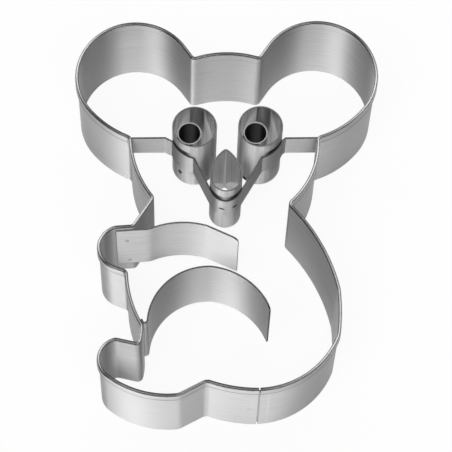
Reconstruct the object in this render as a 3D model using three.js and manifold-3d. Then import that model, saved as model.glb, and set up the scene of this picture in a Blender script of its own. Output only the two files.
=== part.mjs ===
// Koala cookie cutter: a hemmed stainless outline band with embossing strips and tubes welded inside.
// Millimetres, +Z up, cutting edge on Z = 0. Plan positions are measured from the point midway
// between the eyes, X to the right and Y towards the ears, and the finished group is then centred.

import * as THREE from 'three';
import Module from 'manifold-3d';

// Strip metal
const sheet = 0.35;
const bandHeight = 22;
const weldGap = 0.12;
const bendRadius = 0.45;
const facetTurn = 8;
const bendFacetTurn = 20;

// Hem folded outwards along the top of the band
const hemDepth = 2.4;
const hemGap = 0.1;

// Seam under the body, with a tongue of the right end lapped behind the left end
const seamX = 5.15;
const seamY = -54.77;
const seamGap = 0.3;
const lapLength = 4;
const lapStep = 1.6;
const lapEase = 0.04;
const lapBelowHem = 0.6;

// Ears: circles of the band's inner face
const earRadius = 11.3;
const earSpread = 18.2;
const earRise = 10.75;
const earCrownAngle = 32;
const earCheekAngle = 222;

// Head between and below the ears
const notchSpread = 6.8;
const notchY = 14.05;
const crownBow = 1.2;
const leftCheekX = -18.95;
const leftCheekY = -2.3;
const leftCheekBow = 0.55;
const rightCheekX = 17.45;
const rightCheekY = -2.65;
const rightCheekBow = 0.8;

// Neck and armpit on the left, waist on the right
const neckX = -14.4;
const neckY = -15.5;
const neckBow = 1.15;
const waistX = 11.1;
const waistY = -17;
const shoulderBow = 1.9;
const armpitX = -18.6;
const armpitY = -21.8;

// Paw, lower leg and foot on the left
const pawX = -21.15;
const pawY = -25.85;
const pawRadius = 3.95;
const pawTopAngle = 104;
const pawLowAngle = 250;
const wristX = -19.8;
const wristY = -30.6;
const shinBow = 0.75;
const kneeX = -16.85;
const kneeY = -41.9;
const kneeBend = 1.6;
const ankleX = -17.5;
const ankleY = -46.25;
const ankleBow = -0.18;
const toeX = -21.35;
const toeY = -48.75;
const toeRadius = 3.75;
const toeTopAngle = 104;
const toeLowAngle = 230;

// Sole, instep, belly and rump
const soleBow = 1.4;
const heelX = -10.3;
const heelY = -55.65;
const heelBend = 3;
const instepX = -4.9;
const instepY = -52.85;
const instepBend = 2;
const lapBow = 0.48;
const hipX = 20.5;
const hipY = -35;
const bellyBow = 1.45;
const rumpX = 20.2;
const rumpY = -44.2;
const flankBow = 0.25;
const rumpBow = 2.75;
const rumpBend = 4;

// Embossing pieces stop short of the cutting edge, so they mark the dough without cutting through
const embossRecess = 2;

// Eyes, pupils and nose: tubes of one wall
const tubeWall = 0.3;
const tubeHeight = 18.9;
const tubeSides = 48;
const eyeDiameter = 8.9;
const eyeSpacing = 13.1;
const pupilDiameter = 4.84;
const pupilDrop = 0.4;
const gazeAngle = 230;
const noseX = -0.45;
const noseY = -10.75;
const noseWidth = 6.4;
const noseLength = 9.3;

// Carrier strip of the face
const faceLow = 11;
const faceHeight = 7;
const leftFaceY = -1;
const rightFaceY = -1.27;
const faceTab = 4;
const leftEyeApproach = 1.1;
const rightEyeApproach = 0.25;
const hugAngle = 203;
const frontAngle = 268;
const eyeStandOff = 0.75;
const noseStandOff = 0.5;
const faceBend = 0.5;

// Arm strip, measured from the armpit
const armLow = 4.5;
const armHeight = 17;
const armDipX = 2.9;
const armDipY = -0.2;
const armShoulderX = 14.3;
const armShoulderY = 0.4;
const armBow = 1.05;
const armReach = 20.3;
const armFall = -2.5;
const armBend = 4;

// Leg strip, bent back on itself at the leg's wall
const legHeight = 19.2;
const legTab = 5;
const legHairpin = 0.4;
const legFoot = 0.5;
const legCrestX = 12.33;
const legCrestY = 11.18;
const legBow = 3.37;
const legReach = 23.67;
const legFall = 2.41;
const legEndBow = 1.99;

// The free ends of the arm and leg strips have their top corner rounded off
const endRound = 1.5;

const wasm = await Module();
wasm.setup();

const at = (x, y) => new THREE.Vector2(x, y);
const radians = THREE.MathUtils.degToRad;
const left = (direction) => at(-direction.y, direction.x);

function onCircle(centre, radius, degrees) {
  const angle = radians(degrees);
  return at(centre.x + radius * Math.cos(angle), centre.y + radius * Math.sin(angle));
}

// Height of an arc of the given sweep over its chord
function sagitta(radius, degrees) {
  return radius * (1 - Math.cos(radians(degrees) / 2));
}

// A run of strip from one corner to the next: straight, or an arc that bows out to the left
class Stretch {
  constructor(from, to, bow = 0) {
    const chord = to.clone().sub(from);
    this.from = from;
    this.along = chord.clone().normalize();
    this.sweep = 4 * Math.atan2(2 * bow, chord.length());
    this.radius = bow === 0 ? Infinity : (chord.lengthSq() / 4 + bow * bow) / (2 * bow);
    this.length = bow === 0 ? chord.length() : this.radius * this.sweep;
  }

  heading(distance) {
    const turn = this.sweep / 2 - (this.sweep * distance) / this.length;
    return this.along.clone().rotateAround(at(0, 0), turn);
  }

  point(distance) {
    if (this.sweep === 0) return this.from.clone().addScaledVector(this.along, distance);
    const start = left(this.heading(0)).multiplyScalar(this.radius);
    const end = left(this.heading(distance)).multiplyScalar(this.radius);
    return this.from.clone().sub(start).add(end);
  }

  // A point on the inner side of the wall, the side to the right
  inside(distance, clearance) {
    return this.point(distance).addScaledVector(left(this.heading(distance)), -clearance);
  }
}

function stretchesOf(corners) {
  return corners.slice(1).map((corner, i) => new Stretch(corners[i].at, corner.at, corners[i].bow));
}

// Points of a rounded corner between two tangent points, as a conic that is a true arc on even legs
function roundCorner(start, startHeading, end, endHeading) {
  const turn = Math.abs(Math.asin(THREE.MathUtils.clamp(startHeading.cross(endHeading), -1, 1)));
  const bend = startHeading.dot(endHeading) < 0 ? Math.PI - turn : turn;
  const across = end.clone().sub(start);
  const reach = across.cross(endHeading) / startHeading.cross(endHeading);
  const apex = start.clone().addScaledVector(startHeading, reach);
  const weight = Math.cos(bend / 2);
  const steps = Math.max(2, Math.ceil(THREE.MathUtils.radToDeg(bend) / bendFacetTurn));
  const points = [];
  for (let i = 0; i <= steps; i += 1) {
    const t = i / steps;
    const shares = [(1 - t) ** 2, 2 * weight * t * (1 - t), t ** 2];
    const total = shares[0] + shares[1] + shares[2];
    const point = at(0, 0);
    [start, apex, end].forEach((p, k) => point.addScaledVector(p, shares[k] / total));
    points.push(point);
  }
  return points;
}

// The line that a strip follows: corners joined by stretches, each corner rounded by its bend radius
function route(corners) {
  const leastTurn = 0.03;
  const trimShare = 0.48;
  const leastStep = 1e-4;
  const runs = stretchesOf(corners);
  const trims = corners.map((corner, i) => {
    if (i === 0 || i === runs.length || !corner.bend) return 0;
    const before = runs[i - 1].heading(runs[i - 1].length);
    const turn = Math.abs(before.angle() - runs[i].heading(0).angle());
    const bend = Math.min(turn, 2 * Math.PI - turn);
    if (bend < leastTurn) return 0;
    const longest = trimShare * Math.min(runs[i - 1].length, runs[i].length);
    return Math.min(corner.bend * Math.tan(bend / 2), longest);
  });
  const points = [];
  runs.forEach((run, i) => {
    const start = trims[i];
    const end = run.length - trims[i + 1];
    const swept = Math.abs((run.sweep * (end - start)) / run.length);
    const steps = Math.max(1, Math.ceil(THREE.MathUtils.radToDeg(swept) / facetTurn));
    for (let k = 0; k <= steps; k += 1) points.push(run.point(start + ((end - start) * k) / steps));
    if (trims[i + 1] > 0) {
      const next = runs[i + 1];
      const bendEnd = next.point(trims[i + 1]);
      points.push(...roundCorner(run.point(end), run.heading(end), bendEnd, next.heading(trims[i + 1])));
    }
  });
  return points.filter((point, i) => i === 0 || point.distanceTo(points[i - 1]) > leastStep);
}

// Shortens a line by the given length at both ends
function trimEnds(points, length) {
  const cut = (line) => {
    const away = line[1].clone().sub(line[0]).setLength(length);
    return [line[0].clone().add(away), ...line.slice(1)];
  };
  return cut(cut(points).reverse()).reverse();
}

// Directions to the left of a line at its points, lengthened so that a swept wall keeps its thickness
function miters(points) {
  return points.map((point, i) => {
    const before = point.clone().sub(points[Math.max(i - 1, 0)]);
    const after = points[Math.min(i + 1, points.length - 1)].clone().sub(point);
    if (i === 0) before.copy(after);
    if (i === points.length - 1) after.copy(before);
    const normal = left(before.normalize()).add(left(after.normalize())).normalize();
    return normal.divideScalar(normal.dot(left(after)));
  });
}

function closedGeometry(positions, faces) {
  const geometry = new THREE.BufferGeometry();
  geometry.setAttribute('position', new THREE.Float32BufferAttribute(positions, 3));
  geometry.setIndex(faces);
  geometry.computeVertexNormals();
  return geometry;
}

// Sweeps a closed section along a line. A section point is (distance to the left, height), and the
// section runs clockwise as seen along the line, so that the faces point out.
function sweep(points, sectionAt) {
  const normals = miters(points);
  const positions = [];
  points.forEach((point, i) => {
    sectionAt(i).forEach((corner) => {
      const place = point.clone().addScaledVector(normals[i], corner.x);
      positions.push(place.x, place.y, corner.y);
    });
  });
  const ring = sectionAt(0).length;
  const faces = [];
  for (let i = 0; i < points.length - 1; i += 1) {
    for (let k = 0; k < ring; k += 1) {
      const a = i * ring + k;
      const b = i * ring + ((k + 1) % ring);
      faces.push(a, b, a + ring, b, b + ring, a + ring);
    }
  }
  const last = (points.length - 1) * ring;
  THREE.ShapeUtils.triangulateShape(sectionAt(0), []).forEach(([a, b, c]) => faces.push(a, c, b));
  const endCap = THREE.ShapeUtils.triangulateShape(sectionAt(points.length - 1), []);
  endCap.forEach(([a, b, c]) => faces.push(last + a, last + b, last + c));
  return closedGeometry(positions, faces);
}

// A flat strip on edge, centred on its line; topAt gives the height of its upper edge at each point
function stripOnEdge(points, thickness, low, topAt) {
  return sweep(points, (i) => [
    at(thickness / 2, low),
    at(thickness / 2, topAt(i)),
    at(-thickness / 2, topAt(i)),
    at(-thickness / 2, low),
  ]);
}

// Adds points near the free end of a line and gives the strip's top edge there a rounded corner
function roundedEnd(points, high) {
  const steps = 5;
  const tailLength = 1.05 * endRound;
  const end = points[points.length - 1];
  const body = points.filter((point) => point.distanceTo(end) > tailLength);
  const inner = body[body.length - 1];
  const away = inner.clone().sub(end).normalize();
  const tail = [];
  for (let i = 0; i <= steps; i += 1) {
    const turn = ((Math.PI / 2) * i) / steps;
    tail.push({
      at: end.clone().addScaledVector(away, endRound * (1 - Math.sin(turn))),
      top: high - endRound * (1 - Math.cos(turn)),
    });
  }
  const line = [...body, ...tail.map((step) => step.at)];
  return { line, topAt: (i) => (i < body.length ? high : tail[i - body.length].top) };
}

function asManifold(geometry) {
  const vertProperties = new Float32Array(geometry.attributes.position.array);
  const triVerts = new Uint32Array(geometry.index.array);
  return new wasm.Manifold(new wasm.Mesh({ numProp: 3, vertProperties, triVerts }));
}

function asGeometry(manifold) {
  const mesh = manifold.getMesh();
  return closedGeometry(Array.from(mesh.vertProperties), Array.from(mesh.triVerts));
}

// Outline of the band's inner face, clockwise from the seam
const mirrored = (point) => at(-point.x, point.y);
const leftEar = at(-earSpread, earRise);
const leftEarLow = onCircle(leftEar, earRadius, earCheekAngle);
const leftCrown = onCircle(leftEar, earRadius, earCrownAngle);
const paw = at(pawX, pawY);
const toe = at(toeX, toeY);
const hemWidth = 2 * sheet + hemGap;
const innerBend = bendRadius + hemWidth;
const earBow = sagitta(earRadius, earCheekAngle - earCrownAngle);
const pawBow = sagitta(pawRadius, pawLowAngle - pawTopAngle);
const toeBow = sagitta(toeRadius, toeLowAngle - toeTopAngle);

const outline = [
  { name: 'seam', at: at(seamX, seamY), bow: lapBow },
  { name: 'instep', at: at(instepX, instepY), bend: instepBend },
  { name: 'heel', at: at(heelX, heelY), bend: heelBend, bow: soleBow },
  { name: 'toeLow', at: onCircle(toe, toeRadius, toeLowAngle), bend: innerBend, bow: toeBow },
  { name: 'toeTop', at: onCircle(toe, toeRadius, toeTopAngle), bend: innerBend },
  { name: 'ankle', at: at(ankleX, ankleY), bend: innerBend, bow: ankleBow },
  { name: 'knee', at: at(kneeX, kneeY), bend: kneeBend, bow: shinBow },
  { name: 'wrist', at: at(wristX, wristY), bend: innerBend },
  { name: 'pawLow', at: onCircle(paw, pawRadius, pawLowAngle), bend: innerBend, bow: pawBow },
  { name: 'pawTop', at: onCircle(paw, pawRadius, pawTopAngle), bend: innerBend },
  { name: 'armpit', at: at(armpitX, armpitY), bend: innerBend },
  { name: 'neck', at: at(neckX, neckY), bend: innerBend, bow: neckBow },
  { name: 'leftCheek', at: at(leftCheekX, leftCheekY), bend: innerBend, bow: leftCheekBow },
  { name: 'leftEar', at: leftEarLow, bend: innerBend, bow: earBow },
  { name: 'leftCrown', at: leftCrown, bend: innerBend },
  { name: 'leftNotch', at: at(-notchSpread, notchY), bend: innerBend, bow: crownBow },
  { name: 'rightNotch', at: at(notchSpread, notchY), bend: innerBend },
  { name: 'rightCrown', at: mirrored(leftCrown), bend: innerBend, bow: earBow },
  { name: 'rightEar', at: mirrored(leftEarLow), bend: innerBend, bow: rightCheekBow },
  { name: 'rightCheek', at: at(rightCheekX, rightCheekY), bend: innerBend, bow: shoulderBow },
  { name: 'waist', at: at(waistX, waistY), bend: innerBend, bow: bellyBow },
  { name: 'hip', at: at(hipX, hipY), bend: innerBend, bow: flankBow },
  { name: 'rump', at: at(rumpX, rumpY), bend: rumpBend, bow: rumpBow },
  { name: 'seam', at: at(seamX, seamY) },
];
const walls = stretchesOf(outline);
const wallFrom = (name) => walls[outline.findIndex((corner) => corner.name === name)];

// Line of a sheet welded to the inner face of the band
const weldLine = weldGap + sheet / 2;

// Section of the band: inner face at 0, the fold over the top, the flap outside and the slit between
function hemSection() {
  const foldRadius = hemWidth / 2;
  const foldSteps = 4;
  const foldLow = bandHeight - foldRadius;
  const fold = [];
  for (let i = 0; i <= foldSteps; i += 1) {
    const turn = Math.PI * (1 - i / foldSteps);
    fold.push(at(foldRadius * (1 + Math.cos(turn)), foldLow + foldRadius * Math.sin(turn)));
  }
  const flapLow = bandHeight - hemDepth;
  return [
    at(0, 0),
    ...fold,
    at(hemWidth, flapLow),
    at(sheet + hemGap, flapLow),
    at(sheet + hemGap, foldLow),
    at(sheet, foldLow),
    at(sheet, 0),
  ].reverse();
}

// The tongue leaves the sheet of the right end, steps inwards and lies behind the left end
function lapTongue(line) {
  const leftEnd = line[0];
  const leftHeading = line[1].clone().sub(leftEnd).normalize();
  const rightEnd = line[line.length - 1];
  const rightHeading = rightEnd.clone().sub(line[line.length - 2]).normalize();
  const beside = (point, heading, along, across) =>
    point.clone().addScaledVector(heading, along).addScaledVector(left(heading), across);
  const points = [
    beside(rightEnd, rightHeading, -lapStep - sheet, sheet / 2),
    beside(rightEnd, rightHeading, -lapStep, sheet / 2),
    beside(rightEnd, rightHeading, -seamGap, -weldLine),
    beside(leftEnd, leftHeading, lapLength, -weldLine),
  ];
  const high = bandHeight - hemDepth - lapBelowHem;
  return stripOnEdge(points, sheet - 2 * lapEase, lapEase, () => high);
}

function outlineBand() {
  const line = trimEnds(route(outline), seamGap / 2);
  const section = hemSection();
  const band = sweep(line, () => section);
  return asGeometry(asManifold(band).add(asManifold(lapTongue(line))));
}

// Eyes and nose
const eyeRadius = eyeDiameter / 2;
const leftEye = at(-eyeSpacing / 2, 0);
const rightEye = mirrored(leftEye);
const pupilRadius = pupilDiameter / 2;
const pupilOffset = eyeRadius - tubeWall - weldGap - pupilRadius;
const leftPupil = onCircle(leftEye, pupilOffset, gazeAngle);
const rightPupil = onCircle(rightEye, pupilOffset, gazeAngle);
const noseRadius = noseWidth / 2;
const nose = at(noseX, noseY);

function roundTube(centre, radius, height) {
  const profile = [
    at(radius - tubeWall, 0),
    at(radius, 0),
    at(radius, height),
    at(radius - tubeWall, height),
    at(radius - tubeWall, 0),
  ];
  const tube = new THREE.LatheGeometry(profile, tubeSides);
  tube.rotateX(Math.PI / 2);
  tube.translate(centre.x, centre.y, embossRecess);
  return tube;
}

// Drop outline: a round front and two arcs that rise from its sides to a point at the back
function dropOutline(inset) {
  const radius = noseRadius - inset;
  const point = noseLength - noseRadius - inset * Math.SQRT2;
  const sideRadius = (radius * radius + point * point) / (2 * radius);
  const sideSweep = Math.asin(point / sideRadius);
  const outlinePath = new THREE.Path();
  outlinePath.absarc(noseX, noseY, radius, Math.PI, 2 * Math.PI, false);
  outlinePath.absarc(noseX + radius - sideRadius, noseY, sideRadius, 0, sideSweep, false);
  outlinePath.absarc(noseX - radius + sideRadius, noseY, sideRadius, Math.PI - sideSweep, Math.PI, false);
  return outlinePath.getPoints(tubeSides / 4);
}

function noseTube() {
  const shape = new THREE.Shape(dropOutline(0));
  shape.holes.push(new THREE.Path(dropOutline(tubeWall)));
  const tube = new THREE.ExtrudeGeometry(shape, { depth: tubeHeight, bevelEnabled: false });
  tube.translate(0, 0, embossRecess);
  return tube;
}

// Where a weld line beside a wall reaches a given Y, as a distance along that wall
function distanceAtY(wall, y) {
  const halvings = 40;
  let low = 0;
  let high = wall.length;
  const rising = wall.point(high).y > wall.point(low).y;
  for (let i = 0; i < halvings; i += 1) {
    const middle = (low + high) / 2;
    const below = wall.inside(middle, weldLine).y < y;
    if (below === rising) low = middle;
    else high = middle;
  }
  return (low + high) / 2;
}

// Half of the carrier strip, from its tab on a cheek to the side of the nose
function faceHalf(side, eye, cheekWall, faceY, eyeApproach) {
  const tabStart = distanceAtY(cheekWall, faceY);
  const towardsEar = Math.sign(cheekWall.point(cheekWall.length).y - cheekWall.point(0).y);
  const tab = [1, 0.5, 0].map((share) => ({
    at: cheekWall.inside(tabStart + towardsEar * share * faceTab, weldLine),
    bend: faceBend,
  }));
  const hugRadius = eyeRadius + weldLine;
  const approach = { at: at(eye.x + side * (hugRadius + eyeApproach), faceY), bend: faceBend };
  const wrapSteps = 8;
  const wrap = [];
  for (let i = 0; i <= wrapSteps; i += 1) {
    const share = i / wrapSteps;
    const degrees = hugAngle + (frontAngle - hugAngle) * share;
    const angle = side < 0 ? degrees : 180 - degrees;
    const bend = i === 0 || i === wrapSteps ? faceBend : 0;
    wrap.push({ at: onCircle(eye, hugRadius + eyeStandOff * share ** 2, angle), bend });
  }
  return [...tab, approach, ...wrap];
}

// Angle on a circle round the nose at which a line from a point outside touches it
function tangentAngle(from, radius, side) {
  const away = from.clone().sub(nose);
  const spread = Math.acos(radius / away.length());
  return THREE.MathUtils.radToDeg(away.angle() - side * spread);
}

function faceStrip() {
  const leftHalf = faceHalf(-1, leftEye, wallFrom('leftCheek'), leftFaceY, leftEyeApproach);
  const rightCheekWall = wallFrom('rightEar');
  const rightHalf = faceHalf(1, rightEye, rightCheekWall, rightFaceY, rightEyeApproach).reverse();
  const wrapRadius = noseRadius + weldLine;
  const startAngle = tangentAngle(leftHalf[leftHalf.length - 1].at, wrapRadius, -1);
  const endAngle = tangentAngle(rightHalf[0].at, wrapRadius, 1) + 360;
  const wrapSteps = 14;
  const wrap = [];
  for (let i = 0; i <= wrapSteps; i += 1) {
    const share = i / wrapSteps;
    const radius = wrapRadius + noseStandOff * Math.sin(Math.PI * share) ** 2;
    wrap.push({ at: onCircle(nose, radius, startAngle + (endAngle - startAngle) * share) });
  }
  const line = route([...leftHalf, ...wrap, ...rightHalf]);
  return stripOnEdge(line, sheet, faceLow, () => faceLow + faceHeight);
}

function armStrip() {
  const pawWall = wallFrom('pawTop');
  const armpit = at(armpitX, armpitY);
  const fromArmpit = (x, y) => at(armpit.x + x, armpit.y + y);
  const { line, topAt } = roundedEnd(
    route([
      { at: pawWall.inside(0, weldLine) },
      { at: pawWall.inside(pawWall.length, weldLine), bend: armBend },
      { at: fromArmpit(armDipX, armDipY), bend: armBend, bow: armBow },
      { at: fromArmpit(armShoulderX, armShoulderY), bend: armBend },
      { at: fromArmpit(armReach, armFall) },
    ]),
    armLow + armHeight,
  );
  return stripOnEdge(line, sheet, armLow, topAt);
}

function legStrip() {
  const shinWall = wallFrom('knee');
  const tabLow = shinWall.inside(legFoot, weldLine);
  const outward = left(shinWall.heading(legFoot)).negate();
  const start = tabLow.clone().addScaledVector(outward, 2 * legHairpin);
  const fromStart = (x, y) => at(start.x + x, start.y + y);
  const high = embossRecess + legHeight;
  const { line, topAt } = roundedEnd(
    route([
      { at: shinWall.inside(legFoot + legTab, weldLine) },
      { at: shinWall.inside(legFoot + legTab / 2, weldLine) },
      { at: tabLow, bend: legHairpin },
      { at: start, bend: legHairpin, bow: legBow },
      { at: fromStart(legCrestX, legCrestY), bow: legEndBow },
      { at: fromStart(legReach, legFall) },
    ]),
    high,
  );
  return stripOnEdge(line, sheet, embossRecess, topAt);
}

const cutter = new THREE.Group();

// Adds a sub-part with its own stainless finish
function add(name, geometry, color, roughness) {
  const material = new THREE.MeshStandardMaterial({ color, roughness, metalness: 1 });
  const mesh = new THREE.Mesh(geometry, material);
  mesh.name = name;
  cutter.add(mesh);
}

const bandColor = 0xb4b4b4;
const stripColor = 0xb0b0b0;
const tubeColor = 0xa6a6a6;
const brushed = 0.38;
const polished = 0.22;
const pupilHeight = tubeHeight - pupilDrop;

add('outline_band', outlineBand(), bandColor, brushed);
add('face_strip', faceStrip(), stripColor, brushed);
add('left_eye_tube', roundTube(leftEye, eyeRadius, tubeHeight), tubeColor, polished);
add('right_eye_tube', roundTube(rightEye, eyeRadius, tubeHeight), tubeColor, polished);
add('left_pupil_tube', roundTube(leftPupil, pupilRadius, pupilHeight), tubeColor, polished);
add('right_pupil_tube', roundTube(rightPupil, pupilRadius, pupilHeight), tubeColor, polished);
add('nose_tube', noseTube(), tubeColor, polished);
add('arm_strip', armStrip(), stripColor, brushed);
add('leg_strip', legStrip(), stripColor, brushed);

// The part stands on its cutting edge, with its origin under the middle of its outline
const middle = new THREE.Box3().setFromObject(cutter).getCenter(new THREE.Vector3());
cutter.position.set(-middle.x, -middle.y, 0);

export default cutter;
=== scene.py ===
import math

import bmesh
import bpy
from bpy.props import FloatProperty, PointerProperty, StringProperty
from mathutils import Euler, Matrix, Vector


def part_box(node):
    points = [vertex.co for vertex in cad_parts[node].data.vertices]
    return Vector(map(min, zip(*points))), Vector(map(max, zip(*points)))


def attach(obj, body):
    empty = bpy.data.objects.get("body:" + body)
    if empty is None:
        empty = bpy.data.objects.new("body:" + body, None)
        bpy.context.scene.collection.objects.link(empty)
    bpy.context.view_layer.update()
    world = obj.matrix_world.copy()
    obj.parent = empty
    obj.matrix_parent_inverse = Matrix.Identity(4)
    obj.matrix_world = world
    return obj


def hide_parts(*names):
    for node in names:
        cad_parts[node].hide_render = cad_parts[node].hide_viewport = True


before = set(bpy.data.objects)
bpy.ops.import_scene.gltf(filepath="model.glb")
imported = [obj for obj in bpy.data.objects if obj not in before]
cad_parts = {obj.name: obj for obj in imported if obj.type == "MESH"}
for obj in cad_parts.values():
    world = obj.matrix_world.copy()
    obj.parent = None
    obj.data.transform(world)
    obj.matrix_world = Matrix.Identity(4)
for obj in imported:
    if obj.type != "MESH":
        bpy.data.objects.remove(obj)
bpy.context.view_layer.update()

bl_info = {
    "name": "Koala cookie cutter",
    "version": (1, 0, 0),
    "blender": (4, 5, 0),
    "location": "View3D > Sidebar > Cutter",
    "description": "Forms a hemmed cutting band with embossing strips and tubes welded inside it",
    "category": "Object",
}

MM = 0.001

# The plan is measured from the point midway between the eyes, as the solids are
LEFT_EYE_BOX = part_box("left_eye_tube")
RIGHT_EYE_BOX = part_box("right_eye_tube")
EYE_MID = Vector((
    (LEFT_EYE_BOX[0][0] + RIGHT_EYE_BOX[1][0]) / 2,
    (LEFT_EYE_BOX[0][1] + RIGHT_EYE_BOX[1][1]) / 2,
))

UV = "strip_uv"

# How finely arcs and rounds are drawn
SIDE_DEGREES = 2
SIDE_LENGTH = 0.6 * MM
CORNER_DEGREES = 5
FOLD_STEPS = 14
END_STEPS = 12
EYE_WRAP_STEPS = 24
NOSE_WRAP_STEPS = 40
HALVINGS = 40
RING_SIDES = 144
SMOOTH_DEGREES = 28

# A corner is rounded if it bends by more than this, in radians, and takes this share of a run at most
LEAST_BEND = 0.03
LONGEST_TRIM = 0.48

# Points nearer than this are one point
SAME_POINT = 2e-6
SEAM_JOIN = 1e-6

# A rounded end lowers only the part of a strip above this height, and is this much longer than its round
ROUND_ABOVE = 12.5 * MM
ROUND_LENGTH = 1.05

# Weld marks stand this far out of the steel
MARK_DEPTH = 0.03 * MM

# Length and height of the patterns. Brush lines are about 0.03 mm apart and die lines 0.05 mm, and both
# are drawn coarser so that they show. Coils differ a little in tone along their length
BRUSH_LINES = (9 * MM, 0.2 * MM)
COIL_TONE = (14 * MM, 60 * MM)
DIE_LINES = (0.5 * MM, 30 * MM)
SHEAR_GRAIN = 0.2 * MM
PIT_GRAIN = 0.3 * MM
TINT_GRAIN = 0.4 * MM
BUMP_DEPTH = 0.05 * MM

# Most values of a noise lie in this range, and take the steel's colour from the first level to the second
NOISE_RANGE = (0.3, 0.7)
BRUSH_LEVEL = (0.9, 1.06)
COIL_LEVEL = (0.92, 1.05)
DIE_LEVEL = (0.84, 1.1)
BURNT_LEVEL = (0.6, 1.15)
BRUSH_BUMP = 0.08
BURNT_BUMP = 0.3

# A quarter turn: a grain smears reflections across its own direction
GRAIN_TURN = 0.25

# Roughness, least and most
STRIP_ROUGH = (0.52, 0.58)
TUBE_ROUGH = (0.62, 0.66)
SAWN_ROUGH = (0.5, 0.54)
BORE_ROUGH = (0.1, 0.12)
PUPIL_ROUGH = (0.3, 0.32)
FOLD_ROUGH = 0.24
BURNT_ROUGH = 0.55

# Painted shade in gaps narrower than this, found by ambient occlusion: the less open a gap is, the darker
# it is
SHADE_GAP = 0.7 * MM
SHADE_OPEN = (0.45, 0.85)
SHADE_LEVEL = (0.12, 1.0)

# Painted shade on the top edge of a tube: the share of its colour that the edge keeps
TUBE_TOP_SHADE = 0.35
SAWN_TOP_SHADE = 0.65

# A face is part of an edge by the height of its normal, from not at all to wholly. The upward-facing
# edges of the strips and tubes take painted shade by it
FOLD_FACING = (0.15, 0.5)
RIM_FACING = (0.25, 0.55)
TUBE_FACING = (0.25, 0.8)

# A painted shadow line along the flap's lower edge lies over the flap's edge, is this wide to each side
# and fades out by the second width. Its levels are those of the inner and the outer face
FLAP_SHADOW_RISE = 0.15 * MM
FLAP_SHADOW_HALF = (0.12 * MM, 0.3 * MM)
FLAP_SHADOW_LEVEL = (0.9, 0.5)

# Painted light and shade on the fold of the hem and on the sheared edges: lighter where the strip runs
# along this direction, mostly front to back, and darker where it runs across it. Its level follows the
# squared cosine of the angle between the strip and this direction
RIM_LIGHT_ALONG = (0.34, 0.94, 0.0)
RIM_LIGHT_COSINE = (0.15, 0.95)
RIM_LIGHT_LEVEL = (0.15, 0.9)

# The light tent: brightness by bearing in degrees, 0 towards the camera and positive to the right
HIGH_TENT = (
    (-180, 1.4), (-160, 1.4), (-140, 1.4), (-120, 0.5), (-100, 0.1), (-80, 1.7), (-60, 6.6), (-40, 8.6),
    (-20, 7.8), (0, 5.8), (20, 2.7), (40, 0.3), (60, 0.1), (90, 0.4), (120, 0.8), (140, 1.3), (160, 2.4),
    (180, 1.4),
)
LOW_TENT = (
    (-180, 1.0), (-165, 2.3), (-150, 2.3), (-130, 0.6), (-110, 0.1), (-60, 0.1), (-40, 6.4), (-20, 1.4),
    (0, 1.0), (20, 4.2), (40, 1.6), (60, 0.1), (120, 0.1), (145, 1.3), (165, 2.4), (180, 1.0),
)
WALL_FILL = (
    (-180, 0.45), (-150, 0.3), (-110, 0.2), (110, 0.18), (150, 0.3), (180, 0.45),
)
TENT_PEAK = 8.6

# Each tier fades in between its first two heights and out between the last two, as sines of the elevation
TENT_TIERS = (
    (HIGH_TENT, (0.87, 0.91, 0.97, 0.985)),
    (LOW_TENT, (0.70, 0.76, 0.87, 0.91)),
    (WALL_FILL, (-0.05, 0.0, 0.70, 0.76)),
)

# Share of the floor that is plain white: for the steel that mirrors it, and what the lens sees besides
FLOOR_WHITE = 0.3
LENS_WHITE = 0.62
FLOOR_REACH = 2.0

# The camera, solved from the photo: metres, degrees, and the focal length in picture widths
CAMERA_PLACE = (-0.0118057, -0.192226, 0.4834995)
CAMERA_TURN = (22.11117, -0.98496, -0.96506)
CAMERA_FOCAL = 2560 / 452
SENSOR_WIDTH = 36.0
CLIP_START = 0.01


def length(label, words, millimetres):
    """A length that the sidebar shows in scene units."""
    return FloatProperty(
        name=label, description=words, default=millimetres * MM, unit="LENGTH", precision=5, min=0.0
    )


def tint(label, words, code):
    """A surface colour, kept as an sRGB hex value."""
    return StringProperty(name=label, description=words, default=code, maxlen=7)


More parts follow.
